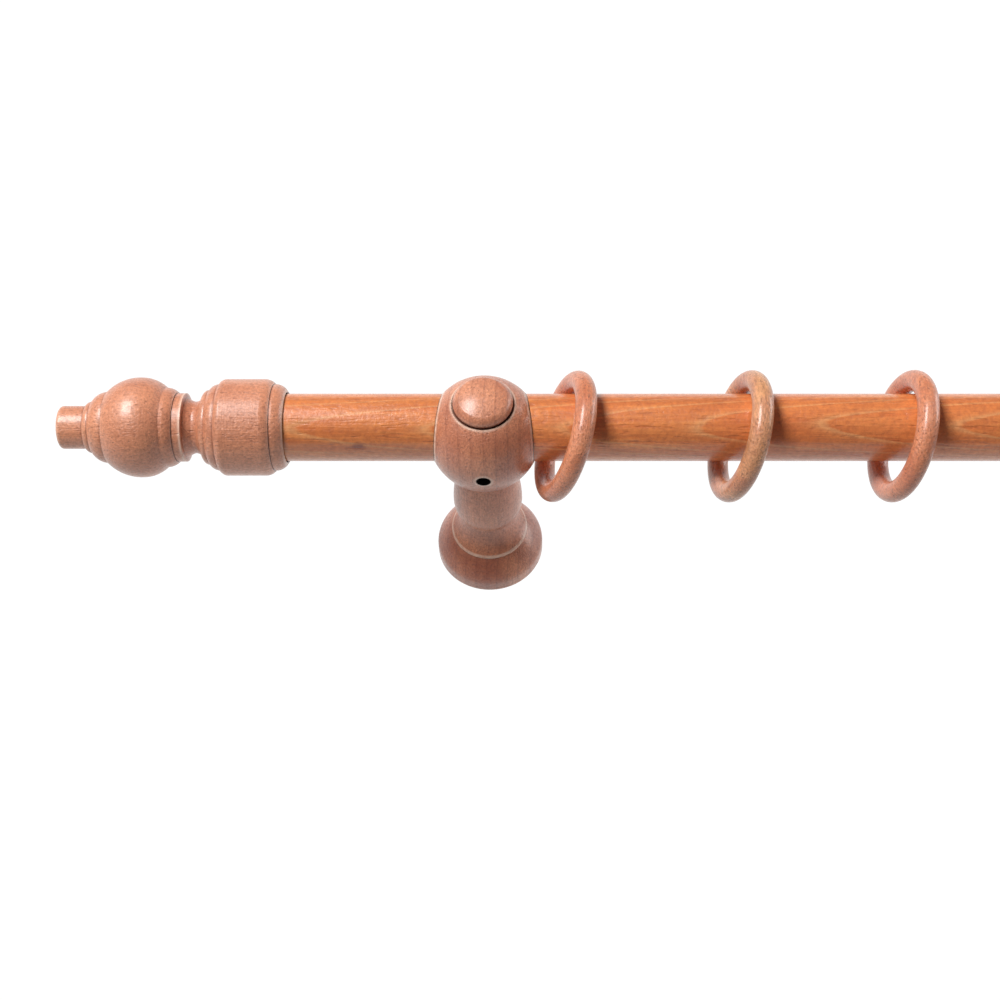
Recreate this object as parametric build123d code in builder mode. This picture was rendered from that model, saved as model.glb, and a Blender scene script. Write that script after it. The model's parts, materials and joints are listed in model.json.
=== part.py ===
from build123d import *
from math import acos, degrees, hypot, sqrt
import os

# Wooden curtain rod: a round rod with a turned sleeve finial on each end, two turned wall
# brackets that it passes through, and ten curtain rings hanging on it.
# X runs along the rod, +Y towards the wall, +Z up. The wall is the plane Y = 0, and the origin
# is on it, midway between the turning axes of the two brackets. Millimetres.

# Driving sizes
rod_diameter = 28.0
bracket_spacing = 780.0
rod_overhang = 110.0  # the rod's end beyond a bracket's axis
wall_to_rod = 91.0  # wall to the rod's axis
rod_rise = 2.7  # the rod's axis above a bracket's turning axis
socket_depth = 29.0  # blind bore of a finial
ring_bore = 38.0
ring_section = 8.8
first_ring = 34.0  # left bracket's axis to the first ring
last_ring = 43.0  # last ring to the right bracket's axis

# Curtain rings: share of the way from first to last, share of the greatest turn about the
# vertical that the rod lets a ring make, and lean along the rod in degrees
rings = [
    (0.0, 0.56, -2.4),
    (0.103, 0.46, -3.0),
    (0.199, 0.39, -4.0),
    (0.309, 0.46, -2.5),
    (0.42, 0.57, -3.5),
    (0.532, 0.43, -2.0),
    (0.642, 0.51, -3.0),
    (0.757, 0.41, -3.6),
    (0.876, 0.5, -2.2),
    (1.0, 0.45, -3.2),
]

# Fits
rod_clearance = 0.3  # radial, the rod in its brackets and finials
rod_end_gap = 0.5  # the rod's end to the bottom of a finial's bore
rod_chamfer = 1.0
ring_clearance = 0.3  # the rod's top to the inside of a ring
glue_gap = 0.05  # radial, a glued tenon in its hole
thread_gap = 0.05  # radial, a screw in its thread

# Bracket head: a ball with a button on its front, bored across for the rod
head_wall = 9.3  # wood outside the bore, on the ball's equator
head_front_wall = 4.4  # wood in front of the bore, at the button's groove
head_back_wall = 8.2
head_back_radius = 13.2
shoulder_radius = 12.9
shoulder_rise = 1.3  # the ball's end in front of the groove
groove_radius = 11.3
button_radius = 12.15
button_underside = 2.6  # groove to rim
button_rim = 0.3
face_radius = 9.8
face_rise = 2.9  # rim to the edge of the button's face
face_dome = 2.1

# Stem: an egg on a flared foot, between head and rose
tenon_radius = 6.0
tenon_length = 7.0
neck_radius = 9.8  # where the egg meets the head
egg_radius = 15.1
egg_back = 7.4  # the egg's widest place to its back edge
egg_edge_radius = 13.6
egg_edge_round = 0.3
crease_radius = 10.9  # the hollow between egg and foot
crease_depth = 1.9
foot_length = 15.5
foot_radius = 17.05
foot_lip = 0.9
foot_hollow = 1.6
tail_radius = 10.0

# Rose: the flange against the wall
rose_radius = 24.0
rose_thickness = 16.9
rose_front_radius = 16.6
rose_shoulder = 1.1  # the rim's radius beyond the end of the sloping front
rose_slope_end = 8.9
rose_rim = 5.0
rose_edge = 0.7
recess_radius = 20.5
recess_depth = 4.0

# Wall fixing behind the rose: a steel plate with a stud, and the stem's threaded insert
plate_radius = 18.0
plate_thickness = 2.0
plate_hole_radius = 2.25
plate_hole_spacing = 24.0
stud_radius = 4.0
stud_length = 19.0
flange_radius = 6.5
flange_thickness = 1.4
insert_radius = 6.0
insert_length = 14.0
insert_end_gap = 2.0  # hole left beyond the insert

# Lock screw, upwards through the head's underside
screw_set_back = 1.3  # behind the rod's axis
screw_hole_radius = 2.95
screw_hole_depth = 6.0
screw_radius = 1.7
screw_head_radius = 2.7
screw_head = 2.0
screw_dome = 0.6
slot_length = 3.2
slot_width = 0.7
slot_depth = 1.0
screw_tip_gap = 0.3  # under the rod

# Finial sleeve: places along it are measured from its mouth
finial_wall = 5.7  # wood outside the bore, on the barrel
mouth_chamfer = 0.45
lip_drop = 2.1  # lip and collar below the barrel
lip_end = 4.2
lip_groove = 1.1
barrel_start = 8.8
small_step = 0.4  # a fine step where one turned band meets the next

# Finial beyond the sleeve: places along it are measured from the bottom of its bore
barrel_end = -4.0
collar_start = -1.4
collar_flat = 0.8
collar_round = 1.9
collar_end = 2.6
bead_drop = 4.5  # bead below the barrel
bead_round = 1.6
bead_end = 5.4
neck_place = 9.0
finial_neck_radius = 10.7
band_start = 12.8
band_end = 16.4
band_radius = 14.2
cushion_end = 21.0
cushion_radius = 16.5
ball_place = 31.0
ball_radius = 20.7
ball_end = 44.8
cap_radius = 14.8
cap_flat = 0.8
cap_end = 51.4
tip_bead_radius = 10.7
tip_bead_end = 54.1
spigot_radius = 8.9
spigot_round = 1.4
spigot_end = 65.0

rod_radius = rod_diameter / 2
bore_radius = rod_radius + rod_clearance
head_radius = bore_radius + head_wall
head_back = bore_radius + head_back_wall
head_front = bore_radius + head_front_wall
barrel_radius = bore_radius + finial_wall
rod_length = bracket_spacing + 2 * rod_overhang
finial_mouth = rod_length / 2 + rod_end_gap - socket_depth
ring_radius = (ring_bore + ring_section) / 2
greatest_turn = degrees(acos((rod_radius + ring_clearance + ring_section / 2) / ring_radius))
ring_span = bracket_spacing - first_ring - last_ring


def save(piece, name):
    piece.part.label = name
    export_step(piece.part, f"parts/{name}.step")


def bracket_profile_plane(x, wall_distance):
    # Radius along local x, distance into the room along local y
    return Plane(origin=(x, -wall_distance, 0), x_dir=(1, 0, 0), z_dir=(0, 0, -1))


def bracket_cross_plane(x, wall_distance):
    # Across the bracket's axis, facing into the room, with local y upwards
    return Plane(origin=(x, -wall_distance, 0), x_dir=(1, 0, 0), z_dir=(0, -1, 0))


def finial_profile_plane(side):
    # Radius along local x, distance outwards from the finial's mouth along local y
    mouth = (side * finial_mouth, -wall_to_rod, rod_rise)
    return Plane(origin=mouth, x_dir=(0, 0, 1), z_dir=(0, side, 0))


def arc_bulge(sideways, along):
    # Bulge of an arc that starts parallel to "along" and ends that far along and sideways
    chord = hypot(sideways, along)
    radius = chord**2 / (2 * sideways)
    return radius - sqrt(radius**2 - chord**2 / 4)


def turned(plane, outline):
    # Turns an outline about the plane's local y. Each step of it is a radius, a place along
    # the axis and the bulge of the arc that leads there, outwards if positive, 0 if straight.
    with BuildSketch(plane) as section:
        with BuildLine():
            for (radius, place, _), (end_radius, end_place, bulge) in zip(outline, outline[1:]):
                if bulge:
                    SagittaArc((radius, place), (end_radius, end_place), -bulge)
                else:
                    Line((radius, place), (end_radius, end_place))
            Line(outline[-1][:2], outline[0][:2])
        make_face()
    revolve(section.sketch, axis=Axis(plane.origin, plane.y_dir))


def bored(plane, radius, depth):
    with BuildSketch(plane) as section:
        Circle(radius)
    extrude(section.sketch, amount=depth, mode=Mode.SUBTRACT)


def make_rod():
    start = (-rod_length / 2, -wall_to_rod, rod_rise)
    with BuildPart() as rod:
        with BuildSketch(Plane(origin=start, x_dir=(0, 1, 0), z_dir=(1, 0, 0))):
            Circle(rod_radius)
        extrude(amount=rod_length)
        chamfer(rod.edges(), length=rod_chamfer)
    save(rod, "rod")


def make_finial(name, side):
    lip_radius = barrel_radius - lip_drop
    bead_radius = barrel_radius - bead_drop
    neck_shoulder = (finial_neck_radius + band_radius) / 2
    shoulder_bulge = arc_bulge(ball_radius - cushion_radius, ball_place - cushion_end)
    crown_bulge = arc_bulge(ball_radius - cap_radius, ball_end - ball_place)
    sleeve = [
        (bore_radius, mouth_chamfer, 0),
        (bore_radius + mouth_chamfer, 0, 0),
        (lip_radius, lip_end, 0.7),
        (lip_radius, lip_end + lip_groove, 0),
        (lip_radius + small_step, lip_end + lip_groove, 0),
        (barrel_radius, barrel_start, 0.4),
    ]
    turnings = [
        (barrel_radius, barrel_end, 0),
        (lip_radius + small_step, collar_start, 0.4),
        (lip_radius, collar_start, 0),
        (lip_radius, collar_start + collar_flat, 0),
        (lip_radius - collar_round, collar_end, 0.4),
        (bead_radius, collar_end + small_step, 0),
        (bead_radius - bead_round, bead_end, 0.5),
        (bead_radius - bead_round - 2 * small_step, bead_end, 0),
        (finial_neck_radius, neck_place, -0.6),
        (neck_shoulder, band_start - small_step, -0.3),
        (band_radius, band_start, 0),
        (band_radius, band_end, 0),
        (band_radius + small_step, band_end, 0),
        (cushion_radius, cushion_end, 0.5),
        (ball_radius, ball_place, shoulder_bulge),
        (cap_radius + small_step, ball_end, crown_bulge),
        (cap_radius, ball_end, 0),
        (cap_radius, ball_end + cap_flat, 0),
        (tip_bead_radius + small_step, cap_end, 0.8),
        (tip_bead_radius, cap_end, 0),
        (spigot_radius + small_step, tip_bead_end, 0.5),
        (spigot_radius, tip_bead_end, 0),
        (spigot_radius, spigot_end - spigot_round, 0),
        (spigot_radius - spigot_round, spigot_end, 0.4),
        (0, spigot_end, 0),
        (0, 0, 0),
        (bore_radius, 0, 0),
    ]
    beyond_bore = [(radius, socket_depth + place, bulge) for radius, place, bulge in turnings]
    with BuildPart() as finial:
        turned(finial_profile_plane(side), sleeve + beyond_bore)
    save(finial, name)


def make_head(name, x):
    shoulder_place = head_front + shoulder_rise
    rim_place = head_front + button_underside
    face_place = rim_place + button_rim + face_rise
    outline = [
        (0, -head_back, 0),
        (head_back_radius, -head_back, 0),
        (head_radius, 0, arc_bulge(head_radius - head_back_radius, head_back)),
        (shoulder_radius, shoulder_place, arc_bulge(head_radius - shoulder_radius, shoulder_place)),
        (groove_radius, head_front, 0),
        (button_radius, rim_place, 0.2),
        (button_radius, rim_place + button_rim, 0),
        (face_radius, face_place, 0.35),
        (0, face_place + face_dome, arc_bulge(face_dome, face_radius)),
    ]
    underside = Plane((x, screw_set_back - wall_to_rod, -head_radius))
    bore_start = Plane((x - head_radius, -wall_to_rod, rod_rise), z_dir=(1, 0, 0))
    with BuildPart() as head:
        turned(bracket_profile_plane(x, wall_to_rod), outline)
        bored(bore_start, bore_radius, 2 * head_radius)
        bored(
            bracket_cross_plane(x, wall_to_rod - head_back),
            tenon_radius + glue_gap,
            tenon_length,
        )
        bored(underside, screw_hole_radius, screw_hole_depth)
        bored(underside, screw_radius + thread_gap, head_radius)
    save(head, name)


def make_stem(name, x):
    foot_end = rose_thickness + foot_length
    edge_place = foot_end + crease_depth
    egg_place = edge_place + egg_edge_round + egg_back
    head_place = wall_to_rod - head_back
    back_bulge = arc_bulge(egg_radius - egg_edge_radius, egg_back)
    front_bulge = arc_bulge(egg_radius - neck_radius, head_place - egg_place)
    outline = [
        (0, recess_depth, 0),
        (tail_radius, recess_depth, 0),
        (tail_radius, rose_thickness, 0),
        (foot_radius, rose_thickness, 0),
        (foot_radius, rose_thickness + foot_lip, 0),
        (crease_radius, foot_end, -foot_hollow),
        (egg_edge_radius - egg_edge_round, edge_place, 0),
        (egg_edge_radius, edge_place + egg_edge_round, 0.1),
        (egg_radius, egg_place, back_bulge),
        (neck_radius, head_place, front_bulge),
        (tenon_radius, head_place, 0),
        (tenon_radius, head_place + tenon_length, 0),
        (0, head_place + tenon_length, 0),
    ]
    with BuildPart() as stem:
        turned(bracket_profile_plane(x, 0), outline)
        bored(
            bracket_cross_plane(x, recess_depth),
            insert_radius + glue_gap,
            insert_length + insert_end_gap,
        )
    save(stem, name)


def make_rose(name, x):
    hole_radius = tail_radius + glue_gap
    outline = [
        (hole_radius, recess_depth, 0),
        (recess_radius, recess_depth, 0),
        (recess_radius, 0, 0),
        (rose_radius - rose_edge, 0, 0),
        (rose_radius, rose_edge, 0),
        (rose_radius, rose_rim, 0),
        (rose_radius - rose_shoulder, rose_slope_end, 0.3),
        (rose_front_radius, rose_thickness, 0.4),
        (hole_radius, rose_thickness, 0),
    ]
    with BuildPart() as rose:
        turned(bracket_profile_plane(x, 0), outline)
    save(rose, name)


def make_threaded_insert(name, x):
    face = bracket_cross_plane(x, recess_depth)
    with BuildPart() as insert:
        with BuildSketch(face):
            Circle(insert_radius)
            Circle(stud_radius + thread_gap, mode=Mode.SUBTRACT)
        extrude(amount=insert_length)
    save(insert, name)


def make_wall_plate(name, x):
    with BuildPart() as plate:
        with BuildSketch(bracket_cross_plane(x, 0)):
            Circle(plate_radius)
            Circle(stud_radius + glue_gap, mode=Mode.SUBTRACT)
            with GridLocations(0, plate_hole_spacing, 1, 2):
                Circle(plate_hole_radius, mode=Mode.SUBTRACT)
        extrude(amount=plate_thickness)
    save(plate, name)


def make_wall_stud(name, x):
    outline = [
        (0, 0, 0),
        (stud_radius, 0, 0),
        (stud_radius, plate_thickness, 0),
        (flange_radius, plate_thickness, 0),
        (flange_radius, plate_thickness + flange_thickness, 0),
        (stud_radius, plate_thickness + flange_thickness, 0),
        (stud_radius, stud_length, 0),
        (0, stud_length, 0),
    ]
    with BuildPart() as stud:
        turned(bracket_profile_plane(x, 0), outline)
    save(stud, name)


def make_lock_screw(name, x):
    seat = screw_hole_depth - head_radius
    bottom = seat - screw_head
    tip = rod_rise - rod_radius - screw_tip_gap
    outline = [
        (0, bottom, 0),
        (screw_head_radius, bottom + screw_dome, 0.15),
        (screw_head_radius, seat, 0),
        (screw_radius, seat, 0),
        (screw_radius, tip, 0),
        (0, tip, 0),
    ]
    with BuildPart() as screw:
        turned(bracket_cross_plane(x, wall_to_rod - screw_set_back), outline)
        with BuildSketch(Plane((x, screw_set_back - wall_to_rod, bottom))):
            Rectangle(slot_length, slot_width)
            Rectangle(slot_width, slot_length)
        extrude(amount=slot_depth, mode=Mode.SUBTRACT)
    save(screw, name)


def make_ring(name, x, turn_angle, lean):
    # Hangs from the point where its inside rests on the top of the rod
    rest = Plane((x, -wall_to_rod, rod_rise + rod_radius + ring_clearance))
    hanging = rest.rotated((0, -lean, 0)).rotated((0, 0, turn_angle))
    centre = hanging.origin - hanging.z_dir * (ring_bore / 2)
    with BuildPart() as ring:
        with BuildSketch(Plane(centre, x_dir=hanging.z_dir, z_dir=hanging.y_dir)):
            with Locations((ring_radius, 0)):
                Circle(ring_section / 2)
        revolve(axis=Axis(centre, hanging.x_dir))
    save(ring, name)


os.makedirs("parts", exist_ok=True)
make_rod()
for name, side in (("left", -1), ("right", 1)):
    bracket_x = side * bracket_spacing / 2
    make_finial(f"finial_{name}", side)
    make_head(f"bracket_head_{name}", bracket_x)
    make_stem(f"bracket_stem_{name}", bracket_x)
    make_rose(f"bracket_rose_{name}", bracket_x)
    make_threaded_insert(f"threaded_insert_{name}", bracket_x)
    make_wall_plate(f"wall_plate_{name}", bracket_x)
    make_wall_stud(f"wall_stud_{name}", bracket_x)
    make_lock_screw(f"lock_screw_{name}", bracket_x)
for number, (way, turn, lean) in enumerate(rings, start=1):
    place = first_ring - bracket_spacing / 2 + way * ring_span
    make_ring(f"ring_{number:02d}", place, turn * greatest_turn, lean)
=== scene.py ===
"""Stains, lacquers and stages a wooden curtain rod with turned brackets, finials and rings."""

import json
import math

import bpy
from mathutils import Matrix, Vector

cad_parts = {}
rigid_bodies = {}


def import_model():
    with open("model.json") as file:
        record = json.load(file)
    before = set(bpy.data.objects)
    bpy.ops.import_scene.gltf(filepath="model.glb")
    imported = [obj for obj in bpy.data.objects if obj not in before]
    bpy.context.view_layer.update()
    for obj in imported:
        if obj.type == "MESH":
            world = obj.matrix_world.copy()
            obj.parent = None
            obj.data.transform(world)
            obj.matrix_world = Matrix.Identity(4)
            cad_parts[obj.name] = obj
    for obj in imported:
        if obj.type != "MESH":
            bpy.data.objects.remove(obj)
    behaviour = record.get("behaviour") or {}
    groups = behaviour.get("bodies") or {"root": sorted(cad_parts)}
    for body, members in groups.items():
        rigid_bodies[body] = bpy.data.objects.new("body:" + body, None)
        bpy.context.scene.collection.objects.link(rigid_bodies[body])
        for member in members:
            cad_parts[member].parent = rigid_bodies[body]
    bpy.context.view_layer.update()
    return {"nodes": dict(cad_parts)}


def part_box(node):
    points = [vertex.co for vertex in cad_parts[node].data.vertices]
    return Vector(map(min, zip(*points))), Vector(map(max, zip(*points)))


bl_info = {
    "name": "Curtain Rod Finisher",
    "version": (1, 0, 0),
    "blender": (4, 5, 0),
    "location": "View3D > Sidebar > Curtain Rod",
    "description": "Stains, lacquers and stages a wooden curtain rod with turned brackets",
    "category": "Object",
}

for left_over in list(bpy.data.objects):
    bpy.data.objects.remove(left_over)
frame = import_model()

SIDES = ("left", "right")
RING_NAMES = sorted(name for name in frame["nodes"] if name.startswith("ring_"))
PALE_RING = RING_NAMES[1]

LIGHT_DISTANCE = 3.0
LARGE_SOFTBOX_SIZE = (1.0, 1.6)
LARGE_SOFTBOX_FROM = Vector((-0.44, -0.88, 0.18))
SMALL_SOFTBOX_SIZE = (1.1, 1.8)
SMALL_SOFTBOX_FROM = Vector((0.93, -0.12, 0.34))
WHITE_TO_CAMERA = 1.05
FLOOR_SIZE = 30

FIT = 0.0005
LACQUER_IOR = 1.5

# Turns that lay a piece's grain along X before its pattern is read
ALONG_ROD = (0, 0, 0)
ROD_GRAIN = (0, math.radians(1.2), math.radians(-2.2))
ALONG_BRACKET = (0, 0, math.radians(90))
ACROSS_RING = (math.radians(8), math.radians(90), 0)


def opaque(colour):
    """A colour setting with full alpha."""
    return (*colour, 1.0)


def middle_of(node_name):
    """The middle of a node's box at rest."""
    low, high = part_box(node_name)
    return (Vector(low) + Vector(high)) / 2


# ---------------------------------------------------------------- settings


def colour_setting(name, description, value):
    """A colour that the sidebar shows as a swatch."""
    return bpy.props.FloatVectorProperty(
        name=name,
        description=description,
        default=value,
        size=3,
        min=0,
        max=1,
        subtype="COLOR",
    )


def length_setting(name, description, value):
    """A length in metres."""
    return bpy.props.FloatProperty(
        name=name, description=description, default=value, unit="LENGTH", precision=4
    )


def share_setting(name, description, value):
    """A share from none to all."""
    return bpy.props.FloatProperty(
        name=name, description=description, default=value, min=0, max=1, subtype="FACTOR"
    )


class RodLook(bpy.types.PropertyGroup):
    """Stain and figure of the softwood rod."""

    light: colour_setting("Light Wood", "Stained spring growth", (1.0, 0.370, 0.110))
    brown: colour_setting("Brown Wood", "Stain where it has soaked in more", (0.72, 0.185, 0.050))
    dark: colour_setting("Dark Streaks", "Stain gathered in pores and knots", (0.26, 0.050, 0.020))
    line: colour_setting("Bright Lines", "Growth lines that take little stain", (1.0, 0.62, 0.28))
    ring_spacing: length_setting("Ring Spacing", "From one growth ring to the next", 0.0024)
    knot_place: length_setting("Knot Place", "From the left bracket outwards to the pin knot", 0.051)
    knot_size: length_setting("Knot Size", "Half the length of the pin knot", 0.0030)
    gloss: share_setting("Lacquer", "How thick the clear lacquer is", 0.75)


class TurnedLook(bpy.types.PropertyGroup):
    """Stain, grain and wear of the pieces turned from close-grained hardwood, with a painted
    highlight on crests and painted shade in grooves and holes.
    """

    light: colour_setting("Light Wood", "Stained wood where it is palest", (0.98, 0.415, 0.225))
    brown: colour_setting("Brown Wood", "Stained wood where it is darkest", (0.50, 0.150, 0.077))
    dark: colour_setting("Dark Lines", "Growth lines, flecks and grooves", (0.16, 0.036, 0.020))
    # Pale crests: partly stain worn thin, partly a painted highlight along sharp edges
    worn_and_sheen: colour_setting("Worn Edges and Sheen", "Thin stain and painted highlight along sharp crests", (1.0, 0.76, 0.60))
    # Painted shade: a near-black colour for the insides of the rod's bores and the lock screws'
    # holes
    inside: colour_setting("Inside of Holes", "Painted shade inside bores", (0.020, 0.008, 0.006))
    ring_spacing: length_setting("Ring Spacing", "From one growth line to the next", 0.0047)
    crest_width: length_setting("Crest Width", "Reach of the wear and painted highlight from a sharp edge", 0.0017)
    # Dark grooves: the Dark Lines colour laid as painted shade where ambient occlusion finds
    # grooves, with stain gathered there
    groove_width: length_setting("Groove Width", "Reach of the painted shade and stain from a groove", 0.0042)
    gloss: share_setting("Lacquer", "How thick the clear lacquer is", 0.62)


class RingLook(bpy.types.PropertyGroup):
    """Stain of the curtain rings."""

    light: colour_setting("Light Wood", "Stained wood where it is palest", (1.0, 0.41, 0.210))
    brown: colour_setting("Brown Wood", "Stained wood where it is darkest", (0.66, 0.190, 0.085))
    pale: colour_setting("Pale Ring", "The one ring cut from yellower wood", (1.0, 0.49, 0.235))
    knot: colour_setting("Knot", "Dark mark low on the pale ring", (0.36, 0.150, 0.060))
    knot_size: length_setting("Knot Size", "From the middle of the mark to its edge", 0.0085)


class MetalLook(bpy.types.PropertyGroup):
    """Finish of the metal fixings."""

    zinc: colour_setting("Zinc", "Bright zinc on the wall plates and studs", (0.60, 0.61, 0.62))
    brass: colour_setting("Brass", "Threaded inserts", (0.72, 0.50, 0.22))
    black: colour_setting("Blackened Steel", "Lock screws", (0.022, 0.020, 0.020))


class StageLook(bpy.types.PropertyGroup):
    """Floor, light and camera."""

    camera_side: length_setting("Camera Side", "Right of the left bracket's axis", 0.0234)
    camera_distance: length_setting("Camera Distance", "In front of the rod's axis", 0.5086)
    camera_drop: length_setting("Camera Drop", "Below the rod's axis", 0.3597)
    camera_tilt: bpy.props.FloatProperty(
        name="Camera Tilt",
        description="How far the camera looks up",
        default=math.radians(32.5),
        subtype="ANGLE",
    )
    camera_shift: bpy.props.FloatProperty(
        name="Camera Shift", description="Sideways shift of the lens", default=-0.041, precision=3
    )
    lens: bpy.props.FloatProperty(
        name="Lens", description="Focal length in millimetres", default=54, unit="CAMERA"
    )
    floor_drop: length_setting("Floor Drop", "From the rod's axis down to the floor", 0.75)
    floor_colour: colour_setting("Floor", "Plain pale floor", (0.83, 0.82, 0.80))
    key_power: bpy.props.FloatProperty(
        name="Large Softbox", description="Light from the left and front", default=114, unit="POWER"
    )
    side_power: bpy.props.FloatProperty(
        name="Small Softbox", description="Light from the right", default=34, unit="POWER"
    )
    backdrop: bpy.props.FloatProperty(
        name="Backdrop", description="How bright the backdrop looks in the gloss", default=1.0, min=0
    )
    backdrop_light: bpy.props.FloatProperty(
        name="Backdrop Light", description="Light thrown by the backdrop", default=0.60, min=0
    )
    room: bpy.props.FloatProperty(
        name="Room", description="Brightness of the room round the lights", default=0.10, min=0
    )


LOOKS = {
    "rod_look": RodLook,
    "turned_look": TurnedLook,
    "ring_look": RingLook,
    "metal_look": MetalLook,
    "stage_look": StageLook,
}


# ---------------------------------------------------------------- wiring of nodes


class Wiring:
    """Adds nodes to one tree and joins them."""

    def __init__(self, tree):
        self.tree = tree
        self.count = 0

    def add(self, kind, inputs=None, **settings):
        """A new node. Each input is a socket to join or a value to set."""
        node = self.tree.nodes.new(kind)
        node.location = (220 * (self.count % 8), -320 * (self.count // 8))
        self.count += 1
        for key, value in settings.items():
            setattr(node, key, value)
        for key, value in (inputs or {}).items():
            self.join(value, node.inputs[key])
        return node

    def join(self, value, socket):
        """Joins a socket, or sets a value."""
        if isinstance(value, bpy.types.NodeSocket):
            self.tree.links.new(value, socket)
        else:
            socket.default_value = value

    def maths(self, operation, *values):
        """The result of a Math node."""
        node = self.add("ShaderNodeMath", dict(enumerate(values)), operation=operation)
        return node.outputs[0]

    def vectors(self, operation, *values):
        """The result of a Vector Math node."""
        node = self.add("ShaderNodeVectorMath", dict(enumerate(values)), operation=operation)
        return node.outputs["Value" if operation == "LENGTH" else "Vector"]

    def span(self, value, low, high, to_low=0.0, to_high=1.0):
        """A value moved from one span to another and kept inside it."""
        ends = {
            "Value": value,
            "From Min": low,
            "From Max": high,
            "To Min": to_low,
            "To Max": to_high,
        }
        return self.add("ShaderNodeMapRange", ends, clamp=True).outputs["Result"]

    def mix(self, share, first, second):
        """Two colours mixed."""
        node = self.add("ShaderNodeMix", {0: share, 6: first, 7: second}, data_type="RGBA")
        return node.outputs[2]

    def stain(self, wood, mask, depth, colour):
        """A wood colour stained where a mask is high."""
        return self.mix(self.maths("MULTIPLY", mask, depth), wood, opaque(colour))

    def stain_gaps(self, wood, mask, depth, colour, high=1.0):
        """A wood colour stained where a mask is low."""
        return self.mix(self.span(mask, 0.0, high, depth, 0.0), wood, opaque(colour))

    def noise(self, vector, scale, detail=2.0, roughness=0.5):
        """A soft random value."""
        inputs = {"Vector": vector, "Scale": scale, "Detail": detail, "Roughness": roughness}
        return self.add("ShaderNodeTexNoise", inputs).outputs[0]

    def group(self, tree, inputs):
        """A shared effect placed in this tree."""
        node = self.tree.nodes.new("ShaderNodeGroup")
        node.node_tree = tree
        node.location = (220 * (self.count % 8), -320 * (self.count // 8))
        self.count += 1
        for key, value in inputs.items():
            self.join(value, node.inputs[key])
        return node


def shared_effect(name, inputs, outputs, build):
    """A node group, built the first time that it is asked for."""
    if name in bpy.data.node_groups:
        return bpy.data.node_groups[name]
    tree = bpy.data.node_groups.new(name, "ShaderNodeTree")
    for label, kind in inputs.items():
        tree.interface.new_socket(name=label, in_out="INPUT", socket_type=f"NodeSocket{kind}")
    for label, kind in outputs.items():
        tree.interface.new_socket(name=label, in_out="OUTPUT", socket_type=f"NodeSocket{kind}")
    wiring = Wiring(tree)
    given = wiring.add("NodeGroupInput").outputs
    wiring.add("NodeGroupOutput", build(wiring, given))
    return tree


# ---------------------------------------------------------------- shared effects


def growth_rings():
    """Growth rings round a pith that runs along X, each darker towards its outer edge."""

    def build(w, given):
        drawn_out = w.add("ShaderNodeCombineXYZ", {0: given["Stretch"], 1: 1.0, 2: 1.0}).outputs[0]
        vector = w.vectors("MULTIPLY", given["Vector"], drawn_out)
        wave_inputs = {
            "Vector": vector,
            "Scale": w.maths("DIVIDE", 0.314159, given["Spacing"]),
            "Distortion": given["Wander"],
            "Detail": 2.0,
            "Detail Scale": 0.30,
            "Detail Roughness": 0.55,
        }
        wave = w.add(
            "ShaderNodeTexWave",
            wave_inputs,
            wave_type="RINGS",
            rings_direction="X",
            wave_profile="SAW",
        )
        year = wave.outputs["Fac"]
        edge = w.maths("POWER", year, given["Sharpness"])
        fall = w.span(year, 0.93, 1.0, 1.0, 0.0)
        return {"Late Wood": w.maths("MULTIPLY", edge, fall)}

    inputs = {
        "Vector": "Vector",
        "Spacing": "Float",
        "Stretch": "Float",
        "Wander": "Float",
        "Sharpness": "Float",
    }
    return shared_effect("Growth Rings", inputs, {"Late Wood": "Float"}, build)


def wood_fibres():
    """Long thin streaks that run along X, and short dark flecks between them."""

    def build(w, given):
        across = w.maths("DIVIDE", 1.0, given["Width"])
        along = w.maths("DIVIDE", 1.0, given["Length"])
        streak_scale = w.add("ShaderNodeCombineXYZ", {0: along, 1: across, 2: across}).outputs[0]
        streaks = w.noise(w.vectors("MULTIPLY", given["Vector"], streak_scale), 1.0, 4.0, 0.62)
        short = w.maths("MULTIPLY", along, 7.0)
        wide = w.maths("MULTIPLY", across, 0.8)
        fleck_scale = w.add("ShaderNodeCombineXYZ", {0: short, 1: wide, 2: wide}).outputs[0]
        flecks = w.noise(w.vectors("MULTIPLY", given["Vector"], fleck_scale), 1.0, 1.0, 0.5)
        stipple = w.noise(given["Vector"], w.maths("MULTIPLY", across, 0.55), 2.0, 0.65)
        return {
            "Streaks": w.span(streaks, 0.30, 0.70),
            "Flecks": w.span(flecks, 0.60, 0.72),
            "Stipple": w.span(stipple, 0.32, 0.68),
        }

    inputs = {"Vector": "Vector", "Length": "Float", "Width": "Float"}
    outputs = {"Streaks": "Float", "Flecks": "Float", "Stipple": "Float"}
    return shared_effect("Wood Fibres", inputs, outputs, build)


def stain_blotches():
    """Slow changes of colour where the stain has soaked in unevenly."""

    def build(w, given):
        vector = w.vectors("MULTIPLY", given["Vector"], (0.45, 1.0, 1.0))
        size = w.maths("DIVIDE", 1.0, given["Size"])
        large = w.noise(vector, size, 2.0, 0.55)
        return {"Blotch": w.span(large, 0.33, 0.67)}

    inputs = {"Vector": "Vector", "Size": "Float"}
    return shared_effect("Stain Blotches", inputs, {"Blotch": "Float"}, build)


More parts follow.
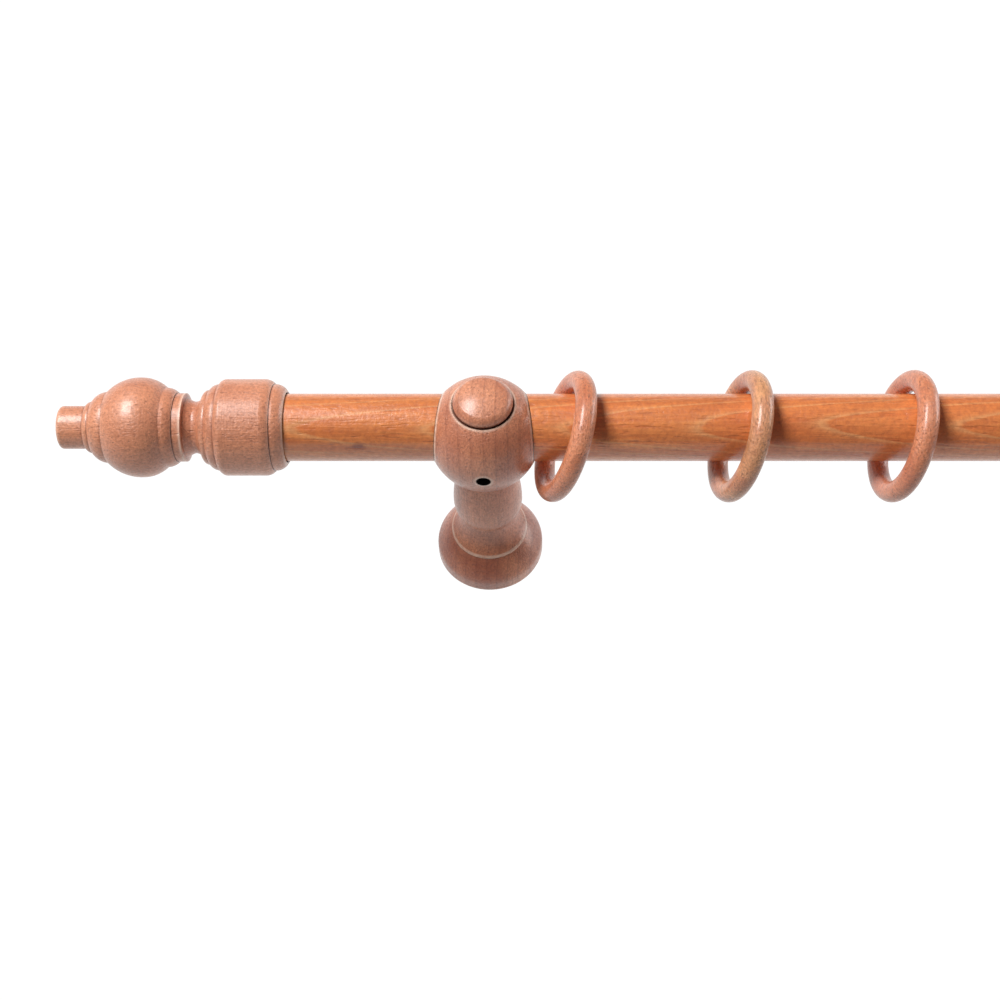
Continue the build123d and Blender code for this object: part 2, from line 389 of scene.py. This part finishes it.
def edge_wear_and_shading():
    """Pale crests, where the stain is worn and a highlight is painted, and painted shade in grooves,
    with stain gathered there.
    """

    def build(w, given):
        outwards = w.add(
            "ShaderNodeAmbientOcclusion", {"Distance": given["Groove Width"]}, only_local=True
        )
        inwards = w.add(
            "ShaderNodeAmbientOcclusion",
            {"Distance": given["Crest Width"]},
            only_local=True,
            inside=True,
        )
        speckle = w.noise(given["Vector"], 420.0, 3.0, 0.6)
        uneven = w.span(speckle, 0.35, 0.6, 0.55, 1.0)
        crest = w.span(inwards.outputs["AO"], 0.96, 0.74)
        return {
            "Crest": w.maths("MULTIPLY", crest, uneven),
            "Groove": w.span(outwards.outputs["AO"], 0.94, 0.62),
        }

    inputs = {"Vector": "Vector", "Crest Width": "Float", "Groove Width": "Float"}
    outputs = {"Crest": "Float", "Groove": "Float"}
    return shared_effect("Edge Wear and Shading", inputs, outputs, build)


def inside_of_bore():
    """The inside of a hole whose axis runs along the X axis."""

    def build(w, given):
        place = w.add("ShaderNodeSeparateXYZ", {0: given["Vector"]}).outputs
        sideways = w.add("ShaderNodeCombineXYZ", {0: 0.0, 1: place[1], 2: place[2]}).outputs[0]
        centre = w.add("ShaderNodeSeparateXYZ", {0: given["Centre"]}).outputs
        axis = w.add("ShaderNodeCombineXYZ", {0: 0.0, 1: centre[1], 2: centre[2]}).outputs[0]
        away = w.vectors("LENGTH", w.vectors("SUBTRACT", sideways, axis))
        edge = w.maths("ADD", given["Radius"], 0.0004)
        within = w.span(away, given["Radius"], edge, 1.0, 0.0)
        reach = w.maths("ABSOLUTE", place[0])
        short = w.maths("LESS_THAN", reach, given["Reach"])
        return {"Inside": w.maths("MULTIPLY", within, short)}

    inputs = {"Vector": "Vector", "Centre": "Vector", "Radius": "Float", "Reach": "Float"}
    return shared_effect("Inside of Bore", inputs, {"Inside": "Float"}, build)


def lathe_marks():
    """Fine rings that the turning tool left, across the X axis."""

    def build(w, given):
        place = w.add("ShaderNodeSeparateXYZ", {0: given["Vector"]}).outputs[0]
        lined_up = w.add("ShaderNodeCombineXYZ", {0: place, 1: 0.0, 2: 0.0}).outputs[0]
        return {"Height": w.noise(lined_up, w.maths("DIVIDE", 1.0, given["Pitch"]), 2.0, 0.6)}

    inputs = {"Vector": "Vector", "Pitch": "Float"}
    return shared_effect("Lathe Marks", inputs, {"Height": "Float"}, build)


def brushed_metal():
    """Fine scratches and slow tarnish on plated metal."""

    def build(w, given):
        scratches = w.vectors("MULTIPLY", given["Vector"], (300.0, 300.0, 4500.0))
        return {
            "Scratches": w.noise(scratches, 1.0, 3.0, 0.6),
            "Tarnish": w.span(w.noise(given["Vector"], 160.0, 3.0, 0.6), 0.35, 0.65),
        }

    outputs = {"Scratches": "Float", "Tarnish": "Float"}
    return shared_effect("Brushed Metal", {"Vector": "Vector"}, outputs, build)


# ---------------------------------------------------------------- materials


def new_material(name):
    """An empty material, its wiring, its object coordinates and its shader."""
    material = bpy.data.materials.new(name)
    material.use_nodes = True
    material.node_tree.nodes.clear()
    w = Wiring(material.node_tree)
    place = w.add("ShaderNodeTexCoord").outputs["Object"]
    shader = w.add("ShaderNodeBsdfPrincipled")
    w.add("ShaderNodeOutputMaterial", {"Surface": shader.outputs[0]})
    return material, w, place, shader


def lay_grain(w, place, turn, pith):
    """Object coordinates turned so that the grain runs along X, and moved off the pith."""
    mapping = w.add(
        "ShaderNodeMapping", {"Vector": place, "Location": pith, "Rotation": turn}
    )
    return mapping.outputs[0]


def lacquer(shader, amount, roughness):
    """The clear coat over the stain."""
    shader.inputs["Coat Weight"].default_value = amount
    shader.inputs["Coat Roughness"].default_value = roughness
    shader.inputs["Coat IOR"].default_value = LACQUER_IOR


def relief(w, shader, height, strength, depth):
    """Fine unevenness of the surface."""
    inputs = {"Strength": strength, "Distance": depth, "Height": height}
    w.join(w.add("ShaderNodeBump", inputs).outputs[0], shader.inputs["Normal"])


def rod_wood(look):
    """Stained softwood with long figure and one pin knot, for the rod."""
    material, w, place, shader = new_material("Stained Softwood")
    grain = lay_grain(w, place, ROD_GRAIN, (0.0, 0.047, -0.031))
    ring_inputs = {
        "Vector": grain,
        "Spacing": look.ring_spacing,
        "Stretch": 0.10,
        "Wander": 3.6,
        "Sharpness": 13.0,
    }
    lines = w.group(growth_rings(), ring_inputs).outputs["Late Wood"]
    fibres = w.group(wood_fibres(), {"Vector": grain, "Length": 0.050, "Width": 0.0011}).outputs
    bands = w.group(wood_fibres(), {"Vector": grain, "Length": 0.110, "Width": 0.0042}).outputs
    blotch = w.group(stain_blotches(), {"Vector": grain, "Size": 0.034}).outputs[0]
    wood = w.stain(opaque(look.light), blotch, 0.65, look.brown)
    wood = w.stain_gaps(wood, bands["Streaks"], 0.42, look.dark, high=0.7)
    wood = w.stain_gaps(wood, fibres["Streaks"], 0.80, look.brown)
    wood = w.stain(wood, lines, 0.85, look.line)
    wood = w.stain_gaps(wood, fibres["Stipple"], 0.34, look.dark)
    wood = w.stain(wood, fibres["Flecks"], 0.26, look.dark)
    wood = w.mix(pin_knot(w, place, look), wood, opaque(look.dark))
    w.join(wood, shader.inputs["Base Color"])
    w.join(w.span(fibres["Stipple"], 0.0, 1.0, 0.44, 0.32), shader.inputs["Roughness"])
    grit = w.maths("MULTIPLY", fibres["Stipple"], 0.7)
    height = w.maths("ADD", w.maths("SUBTRACT", fibres["Streaks"], fibres["Flecks"]), grit)
    relief(w, shader, height, 0.62, 0.00018)
    lacquer(shader, look.gloss, 0.20)
    return material


def pin_knot(w, place, look):
    """A small dark knot low on the rod's front, drawn out along the grain."""
    low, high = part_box("rod")
    rod_radius = (high[2] - low[2]) / 2
    axis = middle_of("rod")
    down = math.radians(69)
    knot = Vector(
        (
            middle_of("bracket_head_left").x - look.knot_place,
            axis.y - rod_radius * math.cos(down),
            axis.z - rod_radius * math.sin(down),
        )
    )
    offset = w.vectors("SUBTRACT", place, tuple(knot))
    drawn_out = w.vectors("MULTIPLY", offset, (0.55, 1.0, 1.0))
    ragged = w.maths("MULTIPLY", w.noise(place, 700.0, 3.0, 0.6), look.knot_size * 0.6)
    away = w.maths("ADD", w.vectors("LENGTH", drawn_out), ragged)
    return w.span(away, look.knot_size * 0.5, look.knot_size * 1.1, 0.85, 0.0)


def turned_wood(name, look, turn, pith, growth_lines, depth, bore_reach=0.0):
    """Stained and lacquered close-grained hardwood; depth is how deep its stain has gone."""
    material, w, place, shader = new_material(name)
    grain = lay_grain(w, place, turn, pith)
    ring_inputs = {
        "Vector": grain,
        "Spacing": look.ring_spacing,
        "Stretch": 0.25,
        "Wander": 3.0,
        "Sharpness": 7.0,
    }
    shading_and_wear_inputs = {
        "Vector": place,
        "Crest Width": look.crest_width,
        "Groove Width": look.groove_width,
    }
    rings = w.group(growth_rings(), ring_inputs).outputs["Late Wood"]
    fibres = w.group(wood_fibres(), {"Vector": grain, "Length": 0.016, "Width": 0.0006}).outputs
    blotch = w.group(stain_blotches(), {"Vector": grain, "Size": 0.019}).outputs[0]
    shading_and_wear = w.group(edge_wear_and_shading(), shading_and_wear_inputs).outputs
    marks = w.group(lathe_marks(), {"Vector": grain, "Pitch": 0.0011}).outputs[0]
    wood = w.stain(opaque(look.light), blotch, depth, look.brown)
    wood = w.stain(wood, rings, growth_lines, look.dark)
    wood = w.stain_gaps(wood, fibres["Streaks"], 0.7 * depth, look.brown)
    wood = w.stain_gaps(wood, fibres["Stipple"], 0.40, look.dark)
    wood = w.stain(wood, fibres["Flecks"], 0.30, look.dark)
    # Painted shade in grooves, with stain gathered there; along crests the stain is worn thin and a
    # highlight is painted
    wood = w.stain(wood, shading_and_wear["Groove"], 0.88, look.dark)
    wood = w.stain(wood, shading_and_wear["Crest"], 0.66, look.worn_and_sheen)
    # Painted shade: near-black inside the rod's bore and the lock screw holes
    if bore_reach:
        wood = w.mix(rod_bore(w, place, bore_reach), wood, opaque(look.inside))
        wood = w.mix(screw_hole(w, place), wood, opaque(look.inside))
    w.join(wood, shader.inputs["Base Color"])
    w.join(w.span(fibres["Stipple"], 0.0, 1.0, 0.48, 0.34), shader.inputs["Roughness"])
    grit = w.maths("MULTIPLY", fibres["Stipple"], 0.8)
    fibre_height = w.maths("SUBTRACT", fibres["Streaks"], fibres["Flecks"])
    fine = w.maths("MULTIPLY", w.maths("ADD", fibre_height, grit), 0.5)
    turned = w.maths("MULTIPLY", marks, 0.7)
    relief(w, shader, w.maths("ADD", fine, turned), 0.85, 0.00026)
    lacquer(shader, look.gloss, 0.27)
    return material


def rod_bore(w, place, reach):
    """Where a piece's surface is the inside of the bore that takes the rod."""
    low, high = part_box("rod")
    inputs = {
        "Vector": place,
        "Centre": tuple(middle_of("rod")),
        "Radius": (high[2] - low[2]) / 2 + FIT,
        "Reach": reach,
    }
    return w.group(inside_of_bore(), inputs).outputs[0]


def screw_hole(w, place):
    """Where a head's surface is the inside of its lock screw's hole, on either side."""
    low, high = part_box("lock_screw_right")
    screw = middle_of("lock_screw_right")
    parts = w.add("ShaderNodeSeparateXYZ", {0: place}).outputs
    sideways = w.maths("SUBTRACT", w.maths("ABSOLUTE", parts[0]), screw.x)
    back = w.maths("SUBTRACT", parts[1], screw.y)
    squares = w.maths("ADD", w.maths("POWER", sideways, 2.0), w.maths("POWER", back, 2.0))
    away = w.maths("SQRT", squares)
    radius = (high[0] - low[0]) / 2 + 0.00035
    within = w.span(away, radius - 0.0001, radius + 0.00015, 1.0, 0.0)
    return w.maths("MULTIPLY", within, w.maths("LESS_THAN", parts[2], 0.0))


def ring_fibres(w, grain):
    """The fibres that both ring woods share."""
    return w.group(wood_fibres(), {"Vector": grain, "Length": 0.014, "Width": 0.00065}).outputs


def ring_surface(w, shader, wood, fibres, turned):
    """Colour, unevenness and lacquer of a ring."""
    w.join(wood, shader.inputs["Base Color"])
    w.join(w.span(fibres["Streaks"], 0.0, 1.0, 0.42, 0.32), shader.inputs["Roughness"])
    relief(w, shader, w.maths("SUBTRACT", fibres["Streaks"], fibres["Flecks"]), 0.80, 0.00024)
    lacquer(shader, turned.gloss, 0.22)


def ring_wood(look, turned):
    """Stained hardwood for the rings, which differ a little from one to the next."""
    material, w, place, shader = new_material("Stained Ring Wood")
    grain = lay_grain(w, place, ACROSS_RING, (0.0, 0.06, 0.0))
    rod_place = w.add("ShaderNodeSeparateXYZ", {0: place}).outputs[0]
    batch = w.add("ShaderNodeCombineXYZ", {0: rod_place, 1: 0.0, 2: 0.0}).outputs[0]
    from_ring_to_ring = w.maths("MULTIPLY", w.span(w.noise(batch, 9.0, 1.0, 0.5), 0.35, 0.65), 0.35)
    blotch = w.group(stain_blotches(), {"Vector": grain, "Size": 0.014}).outputs[0]
    fibres = ring_fibres(w, grain)
    tone = w.maths("ADD", from_ring_to_ring, w.maths("MULTIPLY", blotch, 0.6))
    wood = w.mix(tone, opaque(look.light), opaque(look.brown))
    wood = w.stain_gaps(wood, fibres["Streaks"], 0.75, look.brown, high=0.8)
    wood = w.stain_gaps(wood, fibres["Stipple"], 0.40, turned.dark)
    wood = w.stain(wood, fibres["Flecks"], 0.42, turned.dark)
    ring_surface(w, shader, wood, fibres, turned)
    return material


def pale_ring_wood(look, turned):
    """The yellower ring, with a dark mark low on its front."""
    material, w, place, shader = new_material("Pale Ring Wood")
    grain = lay_grain(w, place, ACROSS_RING, (0.0, 0.05, 0.0))
    low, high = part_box(PALE_RING)
    knot_place = Vector((middle_of(PALE_RING).x - 0.004, low[1] + 0.010, low[2] + 0.013))
    blotch = w.group(stain_blotches(), {"Vector": grain, "Size": 0.012}).outputs[0]
    fibres = ring_fibres(w, grain)
    wood = w.stain(opaque(look.pale), blotch, 0.8, look.brown)
    wood = w.stain_gaps(wood, fibres["Streaks"], 0.65, look.knot, high=0.8)
    wood = w.stain_gaps(wood, fibres["Stipple"], 0.36, turned.dark)
    ragged = w.maths("MULTIPLY", w.noise(grain, 260.0, 3.0, 0.6), look.knot_size * 1.3)
    from_knot = w.vectors("LENGTH", w.vectors("SUBTRACT", place, tuple(knot_place)))
    away = w.maths("ADD", from_knot, ragged)
    mark = w.span(away, look.knot_size * 0.9, look.knot_size * 1.7, 0.8, 0.0)
    wood = w.mix(mark, wood, opaque(look.knot))
    wood = w.stain(wood, fibres["Flecks"], 0.36, turned.dark)
    ring_surface(w, shader, wood, fibres, turned)
    return material


def fixing_metal(name, colour, roughness):
    """Plated, cast or blackened metal, for the fixings."""
    material, w, place, shader = new_material(name)
    marks = w.group(brushed_metal(), {"Vector": place}).outputs
    shading_and_wear_inputs = {"Vector": place, "Crest Width": 0.0004, "Groove Width": 0.0006}
    shading_and_wear = w.group(edge_wear_and_shading(), shading_and_wear_inputs).outputs
    duller = tuple(0.62 * part for part in colour)
    brighter = tuple(min(1.0, 1.35 * part + 0.03) for part in colour)
    metal = w.stain(opaque(colour), marks["Tarnish"], 0.55, duller)
    # Edges paler: wear and a painted highlight along crests
    metal = w.stain(metal, shading_and_wear["Crest"], 0.5, brighter)
    rough = w.span(marks["Scratches"], 0.2, 0.8, roughness, roughness + 0.18)
    w.join(metal, shader.inputs["Base Color"])
    w.join(rough, shader.inputs["Roughness"])
    relief(w, shader, marks["Scratches"], 0.2, 0.00005)
    shader.inputs["Metallic"].default_value = 1.0
    return material


def finish_nodes(names, material):
    """Gives these nodes the material in every slot."""
    for name in names:
        if name not in frame["nodes"]:
            raise RuntimeError(f"The frame has no node {name}")
        for slot in frame["nodes"][name].material_slots:
            slot.material = material


# ---------------------------------------------------------------- operators


class FinishRod(bpy.types.Operator):
    """Stain and lacquer the rod"""

    bl_idname = "curtain_rod.finish_rod"
    bl_label = "Rod"

    def execute(self, context):
        finish_nodes(["rod"], rod_wood(context.scene.rod_look))
        return {"FINISHED"}


class FinishFinials(bpy.types.Operator):
    """Stain and lacquer both turned finials, with the grain along the rod"""

    bl_idname = "curtain_rod.finish_finials"
    bl_label = "Finials"

    def execute(self, context):
        look = context.scene.turned_look
        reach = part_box("rod")[1][0] + 0.0004
        wood = turned_wood("Finial Wood", look, ALONG_ROD, (0, 0.09, 0.05), 0.2, 0.42, reach)
        finish_nodes([f"finial_{side}" for side in SIDES], wood)
        return {"FINISHED"}


class FinishHeads(bpy.types.Operator):
    """Stain and lacquer both bracket heads, with the grain along the bracket"""

    bl_idname = "curtain_rod.finish_heads"
    bl_label = "Bracket Heads"

    def execute(self, context):
        look = context.scene.turned_look
        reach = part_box("rod")[1][0]
        wood = turned_wood("Head Wood", look, ALONG_BRACKET, (0, 0.16, 0.01), 0.6, 0.72, reach)
        finish_nodes([f"bracket_head_{side}" for side in SIDES], wood)
        return {"FINISHED"}


class FinishStems(bpy.types.Operator):
    """Stain and lacquer both bracket stems, with the grain along the bracket"""

    bl_idname = "curtain_rod.finish_stems"
    bl_label = "Bracket Stems"

    def execute(self, context):
        look = context.scene.turned_look
        wood = turned_wood("Stem Wood", look, ALONG_BRACKET, (0, 0.13, 0.08), 0.4, 0.95)
        finish_nodes([f"bracket_stem_{side}" for side in SIDES], wood)
        return {"FINISHED"}


class FinishRoses(bpy.types.Operator):
    """Stain and lacquer both wall roses"""

    bl_idname = "curtain_rod.finish_roses"
    bl_label = "Bracket Roses"

    def execute(self, context):
        look = context.scene.turned_look
        wood = turned_wood("Rose Wood", look, ALONG_BRACKET, (0, 0.19, 0.03), 0.7, 1.1)
        finish_nodes([f"bracket_rose_{side}" for side in SIDES], wood)
        return {"FINISHED"}


class FinishRings(bpy.types.Operator):
    """Stain and lacquer the curtain rings, one of them paler than the rest"""

    bl_idname = "curtain_rod.finish_rings"
    bl_label = "Curtain Rings"

    def execute(self, context):
        look = context.scene.ring_look
        turned = context.scene.turned_look
        finish_nodes([name for name in RING_NAMES if name != PALE_RING], ring_wood(look, turned))
        finish_nodes([PALE_RING], pale_ring_wood(look, turned))
        return {"FINISHED"}


class FinishWallFixings(bpy.types.Operator):
    """Plate the wall plates and the studs that stand on them"""

    bl_idname = "curtain_rod.finish_wall_fixings"
    bl_label = "Wall Plates and Studs"

    def execute(self, context):
        zinc = fixing_metal("Bright Zinc", context.scene.metal_look.zinc, 0.30)
        finish_nodes([f"wall_plate_{side}" for side in SIDES], zinc)
        finish_nodes([f"wall_stud_{side}" for side in SIDES], zinc)
        return {"FINISHED"}


class FinishInserts(bpy.types.Operator):
    """Give the threaded inserts their brass"""

    bl_idname = "curtain_rod.finish_inserts"
    bl_label = "Threaded Inserts"

    def execute(self, context):
        brass = fixing_metal("Turned Brass", context.scene.metal_look.brass, 0.26)
        finish_nodes([f"threaded_insert_{side}" for side in SIDES], brass)
        return {"FINISHED"}


class FinishLockScrews(bpy.types.Operator):
    """Blacken the lock screws"""

    bl_idname = "curtain_rod.finish_lock_screws"
    bl_label = "Lock Screws"

    def execute(self, context):
        black = fixing_metal("Blackened Steel", context.scene.metal_look.black, 0.48)
        finish_nodes([f"lock_screw_{side}" for side in SIDES], black)
        return {"FINISHED"}


def add_softbox(name, aim, direction, size, power):
    """A soft rectangular light that faces the point it is aimed at."""
    place = aim + direction.normalized() * LIGHT_DISTANCE
    bpy.ops.object.light_add(type="AREA", location=place)
    box = bpy.context.object
    box.name = name
    box.data.shape = "RECTANGLE"
    box.data.size, box.data.size_y = size
    box.data.energy = power
    box.rotation_euler = (aim - place).to_track_quat("-Z", "Y").to_euler()


def light_surroundings(stage):
    """A white backdrop, seen white by the camera and dimmer towards the front."""
    world = bpy.data.worlds.new("White Studio")
    bpy.context.scene.world = world
    world.use_nodes = True
    world.node_tree.nodes.clear()
    w = Wiring(world.node_tree)
    direction = w.add("ShaderNodeTexCoord").outputs["Generated"]
    backwards = w.add("ShaderNodeSeparateXYZ", {0: direction}).outputs[1]
    paths = w.add("ShaderNodeLightPath").outputs
    in_gloss = w.span(backwards, -0.03, 0.03, stage.room, stage.backdrop)
    thrown = w.span(backwards, -0.03, 0.03, stage.room, stage.backdrop_light)
    less = w.maths("MULTIPLY", paths["Is Diffuse Ray"], w.maths("SUBTRACT", in_gloss, thrown))
    seen = w.maths("MULTIPLY", paths["Is Camera Ray"], WHITE_TO_CAMERA)
    strength = w.maths("MAXIMUM", w.maths("SUBTRACT", in_gloss, less), seen)
    background = w.add("ShaderNodeBackground", {"Color": (1, 1, 1, 1), "Strength": strength})
    w.add("ShaderNodeOutputWorld", {"Surface": background.outputs[0]})


class BuildStage(bpy.types.Operator):
    """Lay the floor, set up the soft lights and place the camera"""

    bl_idname = "curtain_rod.build_stage"
    bl_label = "Stage"

    def execute(self, context):
        stage = context.scene.stage_look
        rod_axis = middle_of("rod")
        bracket = Vector((middle_of("bracket_head_left").x, rod_axis.y, rod_axis.z))
        self.lay_floor(stage, rod_axis)
        large = (LARGE_SOFTBOX_FROM, LARGE_SOFTBOX_SIZE, stage.key_power)
        small = (SMALL_SOFTBOX_FROM, SMALL_SOFTBOX_SIZE, stage.side_power)
        add_softbox("Large Softbox", bracket, *large)
        add_softbox("Small Softbox", bracket, *small)
        light_surroundings(stage)
        self.place_camera(context, stage, bracket)
        context.scene.view_settings.view_transform = "Standard"
        return {"FINISHED"}

    def lay_floor(self, stage, rod_axis):
        """A wide pale floor sheet under the object."""
        bpy.ops.object.select_all(action="DESELECT")
        level = rod_axis.z - stage.floor_drop
        bpy.ops.mesh.primitive_plane_add(size=FLOOR_SIZE, location=(0, 0, level))
        bpy.ops.object.transform_apply(location=True, rotation=True, scale=True)
        floor = bpy.context.object
        floor.name = "Floor"
        material, w, place, shader = new_material("Pale Floor")
        soft = w.noise(place, 3.0, 3.0, 0.5)
        darker = tuple(0.96 * part for part in stage.floor_colour)
        w.join(w.mix(soft, opaque(stage.floor_colour), opaque(darker)), shader.inputs["Base Color"])
        shader.inputs["Roughness"].default_value = 0.7
        floor.data.materials.append(material)
        floor.visible_glossy = False
        floor.visible_diffuse = False

    def place_camera(self, context, stage, bracket):
        """A camera below and in front of the left bracket, looking up."""
        offset = Vector((stage.camera_side, -stage.camera_distance, -stage.camera_drop))
        upright = math.radians(90)
        bpy.ops.object.camera_add(
            location=bracket + offset, rotation=(upright + stage.camera_tilt, 0, 0)
        )
        camera = bpy.context.object
        camera.name = "Camera"
        camera.data.lens = stage.lens
        camera.data.sensor_width = 36
        camera.data.shift_x = stage.camera_shift
        camera.data.clip_start = 0.01
        context.scene.camera = camera


class CurtainRodPanel(bpy.types.Panel):
    """Lists the steps and their settings"""

    bl_idname = "VIEW3D_PT_curtain_rod"
    bl_label = "Curtain Rod"
    bl_space_type = "VIEW_3D"
    bl_region_type = "UI"
    bl_category = "Curtain Rod"

    def draw(self, context):
        layout = self.layout
        for operator in OPERATORS:
            layout.operator(operator.bl_idname)
        for look_name, look in LOOKS.items():
            box = layout.box()
            box.label(text=look.__doc__)
            for setting in look.__annotations__:
                box.prop(getattr(context.scene, look_name), setting)


OPERATORS = (
    FinishRod,
    FinishFinials,
    FinishHeads,
    FinishStems,
    FinishRoses,
    FinishRings,
    FinishWallFixings,
    FinishInserts,
    FinishLockScrews,
    BuildStage,
)


def register():
    """Registers the settings, the steps and the panel."""
    for look_name, look in LOOKS.items():
        bpy.utils.register_class(look)
        setattr(bpy.types.Scene, look_name, bpy.props.PointerProperty(type=look))
    for operator in OPERATORS:
        bpy.utils.register_class(operator)
    bpy.utils.register_class(CurtainRodPanel)


def unregister():
    """Takes all of it away again."""
    bpy.utils.unregister_class(CurtainRodPanel)
    for operator in reversed(OPERATORS):
        bpy.utils.unregister_class(operator)
    for look_name, look in LOOKS.items():
        delattr(bpy.types.Scene, look_name)
        bpy.utils.unregister_class(look)


def main():
    """Runs each step in order."""
    register()
    for operator in OPERATORS:
        group, step = operator.bl_idname.split(".")
        getattr(getattr(bpy.ops, group), step)()


if __name__ == "__main__":
    main()
